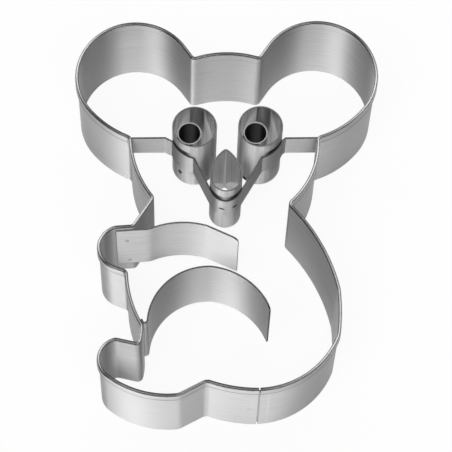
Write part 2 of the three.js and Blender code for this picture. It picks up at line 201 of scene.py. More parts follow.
class CutterSizes(bpy.types.PropertyGroup):
    """Sizes of the strip, the hem and the tubes."""

    sheet: length("Sheet", "Thickness of the strip steel", 0.35)
    band_height: length("Band height", "From the cutting edge to the hem", 22.0)
    hem_depth: length("Hem depth", "How far the folded flap reaches down", 2.4)
    hem_gap: length("Hem gap", "Slit left between the flap and the band", 0.05)
    bend_radius: length("Bend radius", "Inside radius of a sharp bend", 0.45)
    edge_break: length("Edge break", "Chamfer on sheared and sawn edges", 0.05)
    weld_gap: length("Weld gap", "Room for a spot weld between two sheets", 0.12)
    seam_gap: length("Seam gap", "Gap between the two ends of the band", 0.3)
    lap_length: length("Lap", "How far the tongue runs behind the other end", 4.0)
    lap_step: length("Lap step", "Length of the tongue's joggle", 1.6)
    lap_below_hem: length("Lap below hem", "Drop from the flap to the tongue", 0.6)
    lap_ease: length("Lap ease", "Tongue's clearance inside the sheet it leaves", 0.04)
    emboss_recess: length("Emboss recess", "Height of the marking pieces over the cutting edge", 2.0)
    tube_wall: length("Tube wall", "Wall of the eye, pupil and nose tubes", 0.3)
    tube_height: length("Tube height", "Length of the eye and nose tubes", 18.9)
    eye_diameter: length("Eye", "Outside diameter of an eye tube", 8.9)
    eye_spacing: length("Eye spacing", "Distance between the eyes' centres", 13.1)
    pupil_diameter: length("Pupil", "Outside diameter of a pupil tube", 4.84)
    pupil_drop: length("Pupil drop", "How much shorter a pupil tube is than its eye", 0.4)
    nose_width: length("Nose width", "Width of the drop-shaped tube", 6.4)
    nose_length: length("Nose length", "From the round front to the point", 9.3)
    face_low: length("Face strip low", "Height of the carrier's lower edge", 11.0)
    face_height: length("Face strip height", "Width of the carrier strip", 7.0)
    arm_low: length("Arm low", "Height of the arm strip's lower edge", 4.5)
    arm_height: length("Arm height", "Width of the arm strip", 17.0)
    leg_height: length("Leg height", "Width of the leg strip", 19.2)
    end_round: length("End round", "Rounded top corner of a free strip end", 1.5)


class CutterFinish(bpy.types.PropertyGroup):
    """Colours of the steel and of the stage."""

    strip: tint("Strip steel", "Brushed stainless strip", "#DADADA")
    # A lighter copy of the strip steel: painted light that offsets the shade the arm strip gets inside
    # the band
    arm: tint("Arm steel", "Brushed stainless of a brighter coil", "#F0F0F0")
    tube: tint("Tube steel", "Outer face of the drawn tubes", "#E0E0E0")
    bore: tint("Bore", "Inside of the eye and nose tubes", "#D2D2D2")
    # Painted shade: a dark colour for the deep shade inside the narrow pupil tubes
    pupil_bore_shade: tint("Pupil bore", "Dull inside of the pupil tubes", "#6A6A6A")
    edge: tint("Sheared edge", "Sheared ends of the strips", "#8E8E8E")
    weld: tint("Weld", "Burnt pit of a spot weld", "#3A3938")
    heat: tint("Heat tint", "Dulled steel over a spot weld", "#D6D6D4")
    floor: tint("Floor", "White sweep of paper", "#FFFFFF")


def settings(context):
    """Sizes and colours that the sidebar shows."""
    return context.scene.cutter_sizes, context.scene.cutter_finish


def on_circle(centre, radius, degrees):
    angle = math.radians(degrees)
    return centre + Vector((radius * math.cos(angle), radius * math.sin(angle)))


def plan(x, y):
    """A plan point given in millimetres."""
    return Vector((x, y)) * MM


def left(direction):
    return Vector((-direction.y, direction.x))


def arc_bow(radius, degrees):
    """Height of an arc over its chord."""
    return radius * (1 - math.cos(math.radians(degrees) / 2))


class Run:
    """Strip from one corner to the next: straight, or an arc that bows out to the left."""

    def __init__(self, start, end, bow=0.0):
        chord = end - start
        self.start = start
        self.along = chord.normalized()
        self.sweep = 4 * math.atan2(2 * bow, chord.length)
        self.radius = (chord.length_squared / 4 + bow * bow) / (2 * bow) if bow else 0.0
        self.length = self.radius * self.sweep if bow else chord.length

    def heading(self, distance):
        turn = self.sweep / 2 - self.sweep * distance / self.length
        return Matrix.Rotation(turn, 2) @ self.along

    def point(self, distance):
        if not self.sweep:
            return self.start + self.along * distance
        centre = self.start - left(self.heading(0)) * self.radius
        return centre + left(self.heading(distance)) * self.radius

    def inside(self, distance, clearance):
        return self.point(distance) - left(self.heading(distance)) * clearance


def corner(at, bend=0.0, bow=0.0, name=""):
    return {"at": at, "bend": bend, "bow": bow, "name": name}


def runs_of(corners):
    return [Run(a["at"], b["at"], a["bow"]) for a, b in zip(corners, corners[1:])]


def round_corner(start, start_heading, end, end_heading):
    """A conic between two tangent points, a true arc where its legs are even."""
    bend = start_heading.angle(end_heading)
    cross = start_heading.cross(end_heading)
    apex = start + start_heading * ((end - start).cross(end_heading) / cross)
    weight = math.cos(bend / 2)
    steps = max(3, math.ceil(math.degrees(bend) / CORNER_DEGREES))
    points = []
    for i in range(steps + 1):
        t = i / steps
        shares = ((1 - t) ** 2, 2 * weight * t * (1 - t), t * t)
        mixed = start * shares[0] + apex * shares[1] + end * shares[2]
        points.append(mixed / sum(shares))
    return points


def route(corners):
    """The fine line that a strip follows through its rounded corners."""
    runs = runs_of(corners)
    trims = [0.0] * len(corners)
    for i in range(1, len(runs)):
        bend = runs[i - 1].heading(runs[i - 1].length).angle(runs[i].heading(0))
        if corners[i]["bend"] and bend > LEAST_BEND:
            longest = LONGEST_TRIM * min(runs[i - 1].length, runs[i].length)
            trims[i] = min(corners[i]["bend"] * math.tan(bend / 2), longest)
    points = []
    for i, run in enumerate(runs):
        start, end = trims[i], run.length - trims[i + 1]
        swept = math.degrees(abs(run.sweep * (end - start) / run.length))
        steps = max(1, math.ceil(swept / SIDE_DEGREES), math.ceil((end - start) / SIDE_LENGTH))
        points += [run.point(start + (end - start) * k / steps) for k in range(steps + 1)]
        if trims[i + 1]:
            after = runs[i + 1]
            points += round_corner(
                run.point(end), run.heading(end), after.point(trims[i + 1]), after.heading(trims[i + 1])
            )
    kept = points[:1]
    for point in points[1:]:
        if (point - kept[-1]).length > SAME_POINT:
            kept.append(point)
    return kept


def trimmed(points, amount):
    """A line shortened at both ends."""
    first = points[0] + (points[1] - points[0]).normalized() * amount
    last = points[-1] + (points[-2] - points[-1]).normalized() * amount
    return [first, *points[1:-1], last]


def outline_corners(size):
    """Corners of the band's inner face, clockwise from the seam."""
    sharp = size.bend_radius + 2 * size.sheet + size.hem_gap
    ear, ear_radius = plan(-18.2, 10.75), 11.3 * MM
    ear_low, crown = on_circle(ear, ear_radius, 222), on_circle(ear, ear_radius, 32)
    ear_bow = arc_bow(ear_radius, 222 - 32)
    paw, paw_radius = plan(-21.15, -25.85), 3.95 * MM
    toe, toe_radius = plan(-21.35, -48.75), 3.75 * MM

    def opposite(point):
        return Vector((-point.x, point.y))

    seam = plan(5.15, -54.77)
    return [
        corner(seam, 0, 0.48 * MM, "seam"),
        corner(plan(-4.9, -52.85), 2 * MM),
        corner(plan(-10.3, -55.65), 3 * MM, 1.4 * MM),
        corner(on_circle(toe, toe_radius, 230), sharp, arc_bow(toe_radius, 230 - 104)),
        corner(on_circle(toe, toe_radius, 104), sharp),
        corner(plan(-17.5, -46.25), sharp, -0.18 * MM),
        corner(plan(-16.85, -41.9), 1.6 * MM, 0.75 * MM, "knee"),
        corner(plan(-19.8, -30.6), sharp),
        corner(on_circle(paw, paw_radius, 250), sharp, arc_bow(paw_radius, 250 - 104)),
        corner(on_circle(paw, paw_radius, 104), sharp, 0, "paw_top"),
        corner(plan(-18.6, -21.8), sharp, 0, "armpit"),
        corner(plan(-14.4, -15.5), sharp, 1.15 * MM),
        corner(plan(-18.95, -2.3), sharp, 0.55 * MM, "left_cheek"),
        corner(ear_low, sharp, ear_bow),
        corner(crown, sharp),
        corner(plan(-6.8, 14.05), sharp, 1.2 * MM),
        corner(plan(6.8, 14.05), sharp),
        corner(opposite(crown), sharp, ear_bow),
        corner(opposite(ear_low), sharp, 0.8 * MM, "right_ear_low"),
        corner(plan(17.45, -2.65), sharp, 1.9 * MM),
        corner(plan(11.1, -17), sharp, 1.45 * MM),
        corner(plan(20.5, -35), sharp, 0.25 * MM),
        corner(plan(20.2, -44.2), 4 * MM, 2.75 * MM),
        corner(seam),
    ]


def wall_from(size, name):
    corners = outline_corners(size)
    return runs_of(corners)[[c["name"] for c in corners].index(name)]


def weld_line(size):
    """Middle of a sheet that is welded to the inner face of the band."""
    return size.weld_gap + size.sheet / 2


def hem_section(size):
    """Section of the band: inner face at 0, the fold over the top, the flap outside and the slit."""
    high, sheet, cut = size.band_height, size.sheet, size.edge_break
    width = 2 * sheet + size.hem_gap
    fold = width / 2
    low = high - fold
    flap = high - size.hem_depth
    arc = [math.pi * (1 - i / FOLD_STEPS) for i in range(FOLD_STEPS + 1)]
    inner = size.hem_gap / 2
    return [
        (cut, 0), (0, cut),
        *[(fold + fold * math.cos(a), low + fold * math.sin(a)) for a in arc],
        (width, flap + cut), (width - cut, flap),
        (width - sheet + cut, flap), (width - sheet, flap + cut),
        *[(fold + inner * math.cos(a), low + inner * math.sin(a)) for a in reversed(arc[::2])],
        (sheet, cut), (sheet - cut, 0),
    ]


def flat_section(thick, low, high, cut):
    """Section of a strip on edge with its four edges broken."""
    half = thick / 2
    return [
        (half, low + cut), (half, high - cut), (half - cut, high), (cut - half, high),
        (-half, high - cut), (-half, low + cut), (cut - half, low), (half - cut, low),
    ]


def tube_section(wall, low, high, cut):
    """Section of a tube's wall, its outer face at 0."""
    return [(y - wall / 2, z) for y, z in flat_section(wall, low, high, cut)]


def add_node(tree, kind, inputs=None, **options):
    """Adds a node, sets it up and links or fills its inputs, where a node stands for its first output."""
    node = tree.nodes.new(kind)
    for key, value in options.items():
        setattr(node, key, value)
    for key, value in (inputs or {}).items():
        if isinstance(value, bpy.types.Node):
            value = value.outputs[0]
        if isinstance(value, bpy.types.NodeSocket):
            tree.links.new(value, node.inputs[key])
        else:
            node.inputs[key].default_value = value
    return node


def span(value, source, target):
    """Inputs of a node that maps a value from one range to another."""
    return {
        "Value": value,
        "From Min": source[0], "From Max": source[1],
        "To Min": target[0], "To Max": target[1],
    }


def start_tree(name, **kinds):
    """A geometry tree with named inputs and one output, and its input node."""
    tree = bpy.data.node_groups.new(name, "GeometryNodeTree")
    for label, kind in kinds.items():
        tree.interface.new_socket(label, in_out="INPUT", socket_type="NodeSocket" + kind)
    tree.interface.new_socket("Shape", in_out="OUTPUT", socket_type="NodeSocketGeometry")
    return tree, add_node(tree, "NodeGroupInput")


def end_tree(tree, shape, steel):
    """Makes a tree's shape real and gives it its steel."""
    real = add_node(tree, "GeometryNodeRealizeInstances", {0: shape})
    made = add_node(tree, "GeometryNodeSetMaterial", {"Geometry": real, "Material": steel})
    add_node(tree, "NodeGroupOutput", {0: made})
    return tree


def sweep_tree():
    """Sweeps a section along the object's own line, with the length and height kept as a UV map."""
    name = "Strip along its line"
    if name in bpy.data.node_groups:
        return bpy.data.node_groups[name]
    tree, given = start_tree(
        name, Line="Geometry", Section="Object", Steel="Material", Join="Float", Caps="Bool"
    )
    line = add_node(tree, "GeometryNodeMeshToCurve", {0: given.outputs["Line"]})
    upright = add_node(tree, "GeometryNodeSetCurveNormal", {0: line}, mode="Z_UP")
    profile = add_node(tree, "GeometryNodeObjectInfo", {"Object": given.outputs["Section"]})
    section = add_node(tree, "GeometryNodeMeshToCurve", {0: profile.outputs["Geometry"]})
    swept = add_node(tree, "GeometryNodeCurveToMesh", {
        "Curve": upright, "Profile Curve": section, "Fill Caps": given.outputs["Caps"],
    })
    place = add_node(tree, "GeometryNodeInputPosition")
    height = add_node(tree, "ShaderNodeSeparateXYZ", {0: place})
    drop = add_node(tree, "GeometryNodeInputNamedAttribute", {"Name": "drop"}, data_type="FLOAT")
    fall = add_node(tree, "ShaderNodeMath", {0: drop, 1: -1.0}, operation="MULTIPLY")
    offset = add_node(tree, "ShaderNodeCombineXYZ", {"Z": fall})
    upper = add_node(tree, "FunctionNodeCompare", {0: height.outputs["Z"], 1: ROUND_ABOVE})
    rounded = add_node(tree, "GeometryNodeSetPosition", {
        "Geometry": swept, "Selection": upper, "Offset": offset,
    })
    along = add_node(tree, "GeometryNodeInputNamedAttribute", {"Name": "along"}, data_type="FLOAT")
    pair = add_node(tree, "ShaderNodeCombineXYZ", {"X": along, "Y": height.outputs["Z"]})
    mapped = add_node(tree, "GeometryNodeStoreNamedAttribute", {
        "Geometry": rounded, "Name": UV, "Value": pair,
    }, data_type="FLOAT2", domain="CORNER")
    closed = add_node(tree, "GeometryNodeMergeByDistance", {
        "Geometry": mapped, "Distance": given.outputs["Join"],
    })
    return end_tree(tree, closed, given.outputs["Steel"])


def chain(name, points, closed=False):
    """A mesh of one line of edges."""
    edges = [(i, i + 1) for i in range(len(points) - 1)]
    if closed:
        edges.append((len(points) - 1, 0))
    mesh = bpy.data.meshes.new(name)
    mesh.from_pydata(points, edges, [])
    return mesh


def set_inputs(modifier, **values):
    """Sets a node modifier's inputs by the identifiers of its sockets."""
    for item in modifier.node_group.interface.items_tree:
        if item.item_type == "SOCKET" and item.in_out == "INPUT" and item.name in values:
            modifier[item.identifier] = values[item.name]


def plain_mesh(obj, name):
    """The evaluated mesh of an object, after which the object goes."""
    graph = bpy.context.evaluated_depsgraph_get()
    mesh = bpy.data.meshes.new_from_object(obj.evaluated_get(graph), depsgraph=graph)
    mesh.name = name
    obj.modifiers.clear()
    bpy.data.objects.remove(obj)
    return mesh


def swept_mesh(name, line, section, steel, drops=None, join=0.0):
    """A strip or a tube wall swept along a plan line, as a plain closed mesh.

    A tube's line ends where it starts: its ends are joined and have no caps.
    """
    path = chain(name + "_line", [(*(p + EYE_MID), 0.0) for p in line])
    along = path.attributes.new("along", "FLOAT", "POINT")
    drop = path.attributes.new("drop", "FLOAT", "POINT")
    run = 0.0
    for i, point in enumerate(line):
        run += (point - line[i - 1]).length if i else 0.0
        along.data[i].value = run
        drop.data[i].value = drops[i] if drops else 0.0
    outline = chain(name + "_section", [(-x, -y, 0.0) for x, y in section], closed=True)
    profile = bpy.data.objects.new(name + "_section", outline)
    obj = bpy.data.objects.new(name, path)
    bpy.context.scene.collection.objects.link(obj)
    bpy.context.scene.collection.objects.link(profile)
    modifier = obj.modifiers.new("Sweep", "NODES")
    modifier.node_group = sweep_tree()
    set_inputs(modifier, Section=profile, Steel=steel, Join=join, Caps=not join)
    mesh = plain_mesh(obj, name)
    bpy.data.objects.remove(profile)
    return mesh


def faced_out(mesh, *others):
    """Joins meshes into the first and turns every face outwards."""
    shell = bmesh.new()
    shell.from_mesh(mesh)
    for other in others:
        shell.from_mesh(other)
    bmesh.ops.recalc_face_normals(shell, faces=shell.faces)
    for face in shell.faces:
        face.smooth = True
    shell.to_mesh(mesh)
    shell.free()
    mesh.set_sharp_from_angle(angle=math.radians(SMOOTH_DEGREES))


def place_piece(mesh, name, slot, *nodes):
    """Puts a finished mesh in the scene, riding on the cutter in place of its solids."""
    if not mesh.polygons:
        raise RuntimeError(name + " came out empty")
    obj = bpy.data.objects.new(name, mesh)
    bpy.context.scene.collection.objects.link(obj)
    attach(obj, "root")
    if nodes:
        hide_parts(*nodes)
    return obj


def linear(code):
    """An sRGB hex value as linear RGBA."""
    values = [int(code[i:i + 2], 16) / 255 for i in (1, 3, 5)]
    return [v / 12.92 if v <= 0.04045 else ((v + 0.055) / 1.055) ** 2.4 for v in values] + [1.0]


def new_material(name):
    material = bpy.data.materials.new(name)
    material.use_nodes = True
    material.node_tree.nodes.clear()
    return material


def pattern_noise(tree, uv, pattern, detail, roughness=0.5):
    """A flat noise with grains of a pattern's length and height."""
    place = add_node(tree, "ShaderNodeMapping", {
        "Vector": uv, "Scale": (1 / pattern[0], 1 / pattern[1], 1.0),
    })
    return add_node(tree, "ShaderNodeTexNoise", {
        "Vector": place, "Scale": 1.0, "Detail": detail, "Roughness": roughness,
    }, noise_dimensions="2D")


def shaded(tree, code, level, *others):
    """A colour times every one of the levels."""
    for other in others:
        level = add_node(tree, "ShaderNodeMath", {0: level, 1: other}, operation="MULTIPLY")
    return add_node(tree, "ShaderNodeVectorMath", {
        0: linear(code)[:3], "Scale": level,
    }, operation="SCALE")


def grained_steel(tree, color, tangent, inputs):
    """Surface of metal with a fine grain, which smears reflections to one direction."""
    steel = add_node(tree, "ShaderNodeBsdfPrincipled", {
        "Base Color": color, "Metallic": 1.0, "Anisotropic": 1.0, "Tangent": tangent, **inputs,
    })
    add_node(tree, "ShaderNodeOutputMaterial", {"Surface": steel})


def brushed_strip(name, code, flap_shadow=0.0):
    """Stainless strip with a fine brushed grain along its length, which smears reflections upright.

    Its fold and sheared edges carry painted light and shade by the way the strip runs. A hemmed strip has
    a painted shadow line at the height of its flap's edge, dark on the outer face and faint on the inner
    face.
    """
    if name in bpy.data.materials:
        return bpy.data.materials[name]
    material = new_material(name)
    tree = material.node_tree
    uv = add_node(tree, "ShaderNodeUVMap", uv_map=UV)
    grain = pattern_noise(tree, uv, BRUSH_LINES, 3.0, 0.6)
    tone = pattern_noise(tree, uv, COIL_TONE, 1.0)
    grain_level = add_node(tree, "ShaderNodeMapRange", span(grain, NOISE_RANGE, BRUSH_LEVEL))
    tone_level = add_node(tree, "ShaderNodeMapRange", span(tone, NOISE_RANGE, COIL_LEVEL))
    rough = add_node(tree, "ShaderNodeMapRange", span(grain, NOISE_RANGE, STRIP_ROUGH))
    # The fold and the sheared edges face upwards. Their colour carries painted light and shade: lighter
    # where the strip runs along the set direction and darker where it runs across it
    tangent = add_node(tree, "ShaderNodeTangent", direction_type="UV_MAP", uv_map=UV)
    cosine = add_node(tree, "ShaderNodeVectorMath", {
        0: tangent, 1: RIM_LIGHT_ALONG,
    }, operation="DOT_PRODUCT").outputs["Value"]
    squared = add_node(tree, "ShaderNodeMath", {0: cosine, 1: cosine}, operation="MULTIPLY")
    painted_rim_light = add_node(tree, "ShaderNodeMapRange", span(squared, RIM_LIGHT_COSINE, RIM_LIGHT_LEVEL))
    facing = add_node(tree, "ShaderNodeNewGeometry")
    upward = add_node(tree, "ShaderNodeSeparateXYZ", {0: facing.outputs["Normal"]}).outputs["Z"]
    burnish = add_node(tree, "ShaderNodeMapRange", span(upward, FOLD_FACING, (rough, FOLD_ROUGH)))
    painted_top_shade = add_node(tree, "ShaderNodeMapRange", span(upward, RIM_FACING, (1.0, painted_rim_light)))
    levels = [grain_level, tone_level, painted_top_shade]
    # Painted shadow line at the flap's edge, darker on the outer face than on the inner face
    if flap_shadow:
        height = add_node(tree, "ShaderNodeSeparateXYZ", {0: uv})
        off = add_node(tree, "ShaderNodeMath", {0: height.outputs["Y"], 1: flap_shadow}, operation="SUBTRACT")
        apart = add_node(tree, "ShaderNodeMath", {0: off}, operation="ABSOLUTE")
        outward = add_node(tree, "ShaderNodeVectorMath", {
            0: (0.0, 0.0, 1.0), 1: tangent,
        }, operation="CROSS_PRODUCT")
        side = add_node(tree, "ShaderNodeVectorMath", {
            0: outward, 1: facing.outputs["Normal"],
        }, operation="DOT_PRODUCT").outputs["Value"]
        mark = add_node(tree, "ShaderNodeMapRange", span(side, (-0.5, 0.5), FLAP_SHADOW_LEVEL))
        levels.append(add_node(tree, "ShaderNodeMapRange", span(apart, FLAP_SHADOW_HALF, (mark, 1.0))))
    bump = add_node(tree, "ShaderNodeBump", {
        "Height": grain, "Strength": BRUSH_BUMP, "Distance": BUMP_DEPTH,
    })
    grained_steel(tree, shaded(tree, code, *levels), tangent, {
        "Roughness": burnish, "Anisotropic Rotation": GRAIN_TURN, "Normal": bump,
    })
    return material


def drawn_tube(name, code, roughness, edge=TUBE_TOP_SHADE):
    """Drawn stainless tube with faint die lines that run up the wall.

    It has a soft upright sheen outside, where it is rough, and sharper reflections in a smooth bore.
    """
    if name in bpy.data.materials:
        return bpy.data.materials[name]
    material = new_material(name)
    tree = material.node_tree
    uv = add_node(tree, "ShaderNodeUVMap", uv_map=UV)
    lines = pattern_noise(tree, uv, DIE_LINES, 2.0)
    level = add_node(tree, "ShaderNodeMapRange", span(lines, NOISE_RANGE, DIE_LEVEL))
    facing = add_node(tree, "ShaderNodeNewGeometry")
    upward = add_node(tree, "ShaderNodeSeparateXYZ", {0: facing.outputs["Normal"]}).outputs["Z"]
    # Painted shade on the tube's upward-facing top edge
    painted_top_shade = add_node(tree, "ShaderNodeMapRange", span(upward, TUBE_FACING, (1.0, edge)))
    # Painted shade, found by ambient occlusion, darkens the narrow gap between a tube and the strip or
    # tube that it is welded to
    gap = add_node(tree, "ShaderNodeAmbientOcclusion", {"Distance": SHADE_GAP}, samples=8)
    gap_shade = add_node(tree, "ShaderNodeMapRange", span(gap.outputs["AO"], SHADE_OPEN, SHADE_LEVEL))
    rough = add_node(tree, "ShaderNodeMapRange", span(lines, NOISE_RANGE, roughness))
    tangent = add_node(tree, "ShaderNodeTangent", direction_type="UV_MAP", uv_map=UV)
    grained_steel(tree, shaded(tree, code, level, gap_shade, painted_top_shade), tangent, {
        "Roughness": rough, "Anisotropic Rotation": GRAIN_TURN,
    })
    return material


def tube_finish(finish):
    return drawn_tube("stainless_tube_drawn", finish.tube, TUBE_ROUGH)


def bore_finish(finish):
    return drawn_tube("stainless_tube_bore", finish.bore, BORE_ROUGH)


def burnt_steel(name, code, speck):
    """Steel burnt by a spot weld: dull, dark and finely pitted."""
    material = new_material(name)
    tree = material.node_tree
    place = add_node(tree, "ShaderNodeTexCoord")
    pits = add_node(tree, "ShaderNodeTexNoise", {
        "Vector": place.outputs["Object"], "Scale": 1 / speck, "Detail": 2.0,
    })
    level = add_node(tree, "ShaderNodeMapRange", span(pits, NOISE_RANGE, BURNT_LEVEL))
    bump = add_node(tree, "ShaderNodeBump", {
        "Height": pits, "Strength": BURNT_BUMP, "Distance": BUMP_DEPTH,
    })
    upright = add_node(tree, "ShaderNodeCombineXYZ", {"Z": 1.0})
    grained_steel(tree, shaded(tree, code, level), upright, {
        "Roughness": BURNT_ROUGH, "Normal": bump,
    })
    return material


def shear_ends(mesh, code):
    """Gives the end faces of a strip the dull finish of a sheared edge."""
    name = "steel_sheared"
    mesh.materials.append(bpy.data.materials.get(name) or burnt_steel(name, code, SHEAR_GRAIN))
    for face in mesh.polygons:
        if len(face.vertices) > 4:
            face.material_index = 1


def line_bore(mesh, centre, steel):
    """Gives the faces that look at a tube's axis the finish of its bore."""
    axis, least_look = centre + EYE_MID, 0.1
    mesh.materials.append(steel)
    for face in mesh.polygons:
        away = face.center.xy - axis
        if away.dot(face.normal.xy) < -least_look * away.length:
            face.material_index = 1


class CUTTER_OT_outline_band(bpy.types.Operator):
    """Bends the hemmed band round the outline and laps its seam"""

    bl_idname = "cutter.outline_band"
    bl_label = "Outline band"

    def execute(self, context):
        size, finish = settings(context)
        flap_edge = size.band_height - size.hem_depth
        steel = brushed_strip("stainless_band_brushed", finish.strip, flap_edge + FLAP_SHADOW_RISE)
        line = trimmed(route(outline_corners(size)), size.seam_gap / 2)
        band = swept_mesh("outline_band_formed", line, hem_section(size), steel)
        start, end = line[0], line[-1]
        into = (line[1] - line[0]).normalized()
        away = (line[-1] - line[-2]).normalized()
        behind = weld_line(size)
        tongue_line = [
            end - away * (size.lap_step + size.sheet) + left(away) * size.sheet / 2,
            end - away * size.lap_step + left(away) * size.sheet / 2,
            end - away * size.seam_gap - left(away) * behind,
            start + into * size.lap_length - left(into) * behind,
        ]
        thick = size.sheet - 2 * size.lap_ease
        section = flat_section(thick, size.lap_ease, flap_edge - size.lap_below_hem, size.edge_break)
        tongue = swept_mesh("lap_tongue", tongue_line, section, steel)
        faced_out(band, tongue)
        shear_ends(band, finish.edge)
        bpy.data.meshes.remove(tongue)
        place_piece(band, "outline_band_formed", "band_steel", "outline_band")
        return {"FINISHED"}


def face_half(size, side, eye, wall, line_y, ease):
    """Half of the carrier's corners, from its tab on a cheek to the front of an eye."""
    tab_length, bend, spring = 4 * MM, 0.5 * MM, 0.75 * MM
    wrap_from, wrap_to = 203, 268
    behind = weld_line(size)
    low, high = 0.0, wall.length
    rising = wall.point(high).y > wall.point(low).y
    for _ in range(HALVINGS):
        middle = (low + high) / 2
        if (wall.inside(middle, behind).y < line_y) == rising:
            low = middle
        else:
            high = middle
    ear_way = 1 if rising else -1
    tab = [
        corner(wall.inside(low + ear_way * share * tab_length, behind), bend) for share in (1, 0.5, 0)
    ]
    hug = size.eye_diameter / 2 + behind
    approach = corner(Vector((eye.x + side * (hug + ease), line_y)), bend)
    wrap = []
    for i in range(EYE_WRAP_STEPS + 1):
        share = i / EYE_WRAP_STEPS
        degrees = wrap_from + (wrap_to - wrap_from) * share
        place = on_circle(eye, hug + spring * share ** 2, degrees if side < 0 else 180 - degrees)
        wrap.append(corner(place, bend if share in (0, 1) else 0.0))
    return [*tab, approach, *wrap]


def nose_centre():
    return plan(-0.45, -10.75)


def face_line(size):
    """The carrier's line: tab, eye, nose, eye, tab."""
    eye = Vector((size.eye_spacing / 2, 0.0))
    first = face_half(size, -1, -eye, wall_from(size, "left_cheek"), -1.0 * MM, 1.1 * MM)
    last = face_half(size, 1, eye, wall_from(size, "right_ear_low"), -1.27 * MM, 0.25 * MM)[::-1]
    radius = size.nose_width / 2 + weld_line(size)

    def touch(point, side):
        away = point - nose_centre()
        return math.degrees(math.atan2(away.y, away.x) - side * math.acos(radius / away.length)) % 360

    start, end = touch(first[-1]["at"], -1), touch(last[0]["at"], 1)
    if end < start:
        end += 360
    spring = 0.5 * MM
    wrap = []
    for i in range(NOSE_WRAP_STEPS + 1):
        share = i / NOSE_WRAP_STEPS
        reach = radius + spring * math.sin(math.pi * share) ** 2
        wrap.append(corner(on_circle(nose_centre(), reach, start + (end - start) * share)))
    return route([*first, *wrap, *last])


class CUTTER_OT_face_strip(bpy.types.Operator):
    """Bends the carrier strip from cheek to cheek round the eyes and the nose"""

    bl_idname = "cutter.face_strip"
    bl_label = "Face strip"

    def execute(self, context):
        size, finish = settings(context)
        steel = brushed_strip("stainless_strip_brushed", finish.strip)
        top = size.face_low + size.face_height
        section = flat_section(size.sheet, size.face_low, top, size.edge_break)
        mesh = swept_mesh("face_strip_formed", face_line(size), section, steel)
        faced_out(mesh)
        shear_ends(mesh, finish.edge)
        place_piece(mesh, "face_strip_formed", "strip_steel", "face_strip")
        return {"FINISHED"}


def rounded_end(size, points):
    """The line with a finer tail, and how far the strip's top falls at each of its points."""
    end = points[-1]
    body = [p for p in points if (p - end).length > ROUND_LENGTH * size.end_round]
    away = (body[-1] - end).normalized()
    tail, falls = [], []
    for i in range(END_STEPS + 1):
        turn = math.pi / 2 * i / END_STEPS
        tail.append(end + away * size.end_round * (1 - math.sin(turn)))
        falls.append(size.end_round * (1 - math.cos(turn)))
    return body + tail, [0.0] * len(body) + falls


class CUTTER_OT_limb_strips(bpy.types.Operator):
    """Bends the arm strip from the paw and the leg strip from its hairpin on the shin"""

    bl_idname = "cutter.limb_strips"
    bl_label = "Arm and leg strips"

    def execute(self, context):
        size, finish = settings(context)
        steel = brushed_strip("stainless_strip_brushed", finish.strip)
        # The arm strip takes the lighter copy of the strip steel, as painted light against the shade
        # inside the band
        bright = brushed_strip("stainless_strip_brushed_painted_light", finish.arm)
        behind, cut = weld_line(size), size.edge_break
        paw = wall_from(size, "paw_top")
        armpit, arm_bend = wall_from(size, "armpit").start, 4 * MM
        arm = route([
            corner(paw.inside(0, behind)),
            corner(paw.inside(paw.length, behind), arm_bend),
            corner(armpit + plan(2.9, -0.2), arm_bend, 1.05 * MM),
            corner(armpit + plan(14.3, 0.4), arm_bend),
            corner(armpit + plan(20.3, -2.5)),
        ])
        shin = wall_from(size, "knee")
        tab_start, tab_middle, tab_end = 0.5 * MM, 1.1 * MM, 1.5 * MM
        hairpin, hairpin_bend = 0.8 * MM, 0.4 * MM
        tab_low = shin.inside(tab_start, behind)
        start = tab_low - left(shin.heading(tab_start)) * hairpin
        leg = route([
            corner(shin.inside(tab_end, behind)),
            corner(shin.inside(tab_middle, behind)),
            corner(tab_low, hairpin_bend),
            corner(start, hairpin_bend, 3.37 * MM),
            corner(start + plan(12.33, 11.18), 0, 1.99 * MM),
            corner(start + plan(23.67, 2.41)),
        ])
        limbs = (
            ("arm_strip", arm, size.arm_low, size.arm_low + size.arm_height, bright),
            ("leg_strip", leg, size.emboss_recess, size.emboss_recess + size.leg_height, steel),
        )
        for node, points, low, high, coil in limbs:
            line, drops = rounded_end(size, points)
            section = flat_section(size.sheet, low, high, cut)
            mesh = swept_mesh(node + "_formed", line, section, coil, drops)
            faced_out(mesh)
            shear_ends(mesh, finish.edge)
            place_piece(mesh, node + "_formed", "strip_steel", node)
        return {"FINISHED"}


def closed_line(loop):
    """A loop that starts and ends midway along a side, so that its two ends meet squarely."""
    middle = (loop[0] + loop[-1]) / 2
    return [middle, *loop, middle]


def ring(centre, radius):
    """A round line, clockwise from the back."""
    return closed_line([on_circle(centre, radius, 90 - 360 * i / RING_SIDES) for i in range(RING_SIDES)])


